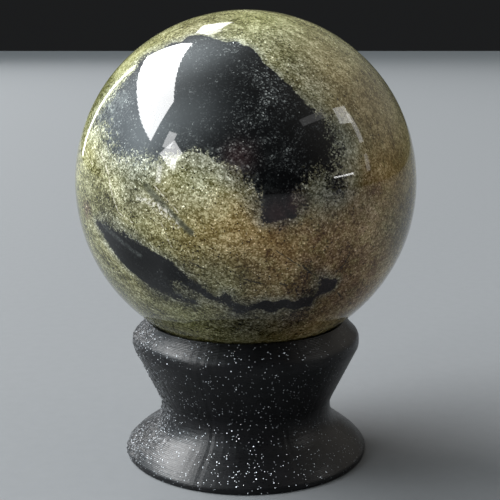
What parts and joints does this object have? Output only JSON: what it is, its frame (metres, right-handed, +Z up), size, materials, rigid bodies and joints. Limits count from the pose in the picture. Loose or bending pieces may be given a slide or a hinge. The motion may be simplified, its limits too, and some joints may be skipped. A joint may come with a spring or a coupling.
{
  "type": "decorative sphere",
  "caption": "Polished mottled stone ball resting in the dish of a waisted round stand, for display on a desk or shelf",
  "frame": {"origin": "centre of the stand's flat underside, on the surface that the object stands on", "axes": "+Z up through the middle of the stand and the ball; the side that the picture shows faces -Y, with +X to the right"},
  "size_m": [0.06, 0.06, 0.0794],
  "materials": {
    "stone": "polished",
    "plastic": "satin"
  },
  "bodies": {
    "root": {"stone_ball": "stone", "printed_stand": "plastic"}
  },
  "joints": []
}
